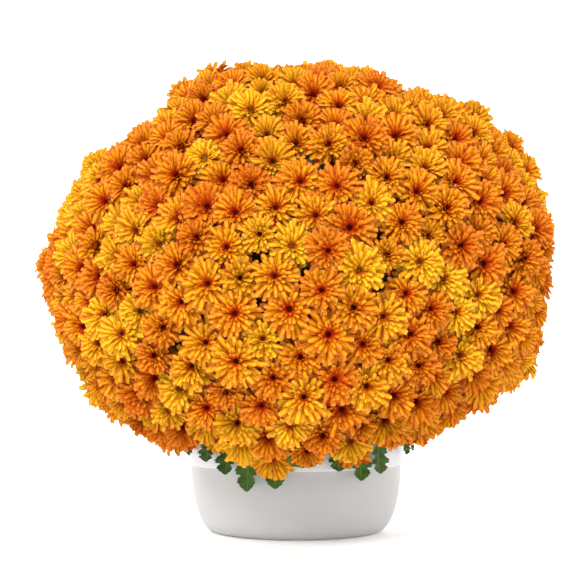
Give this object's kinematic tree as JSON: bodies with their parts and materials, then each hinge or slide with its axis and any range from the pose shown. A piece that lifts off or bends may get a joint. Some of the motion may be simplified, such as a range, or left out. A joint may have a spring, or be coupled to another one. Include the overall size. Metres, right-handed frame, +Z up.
{
  "type": "pot chrysanthemum",
  "caption": "Garden chrysanthemum in full bloom: a mound of double bronze-orange blooms on leafy shoots, in a shallow round planter with a smooth rim band.",
  "frame": {"origin": "middle of the planter's foot, on the surface it stands on", "axes": "+Z up through the planter's axis, -Y towards the viewer's side, +X to the right as seen from there"},
  "size_m": [0.5349, 0.528, 0.4953],
  "materials": {
    "planter plastic": "matte",
    "peat soil": "rough",
    "bloom petals": "satin",
    "leaf green": "satin"
  },
  "bodies": {
    "root": {"planter": "planter plastic", "soil": "peat soil", "blooms_01": "bloom petals", "blooms_02": "bloom petals", "blooms_03": "bloom petals", "blooms_04": "bloom petals", "blooms_05": "bloom petals", "blooms_06": "bloom petals", "blooms_07": "bloom petals", "blooms_08": "bloom petals", "blooms_09": "bloom petals", "blooms_10": "bloom petals", "blooms_11": "bloom petals", "blooms_12": "bloom petals", "blooms_13": "bloom petals", "blooms_14": "bloom petals", "blooms_15": "bloom petals", "blooms_16": "bloom petals", "blooms_17": "bloom petals", "blooms_18": "bloom petals", "blooms_19": "bloom petals", "blooms_20": "bloom petals", "shoot_01": "leaf green", "shoot_02": "leaf green", "shoot_03": "leaf green", "shoot_04": "leaf green", "shoot_05": "leaf green", "shoot_06": "leaf green", "shoot_07": "leaf green", "shoot_08": "leaf green", "shoot_09": "leaf green", "shoot_10": "leaf green", "shoot_11": "leaf green", "shoot_12": "leaf green", "shoot_13": "leaf green", "shoot_14": "leaf green", "shoot_15": "leaf green", "shoot_16": "leaf green", "shoot_17": "leaf green", "shoot_18": "leaf green", "shoot_19": "leaf green", "shoot_20": "leaf green"}
  },
  "joints": []
}
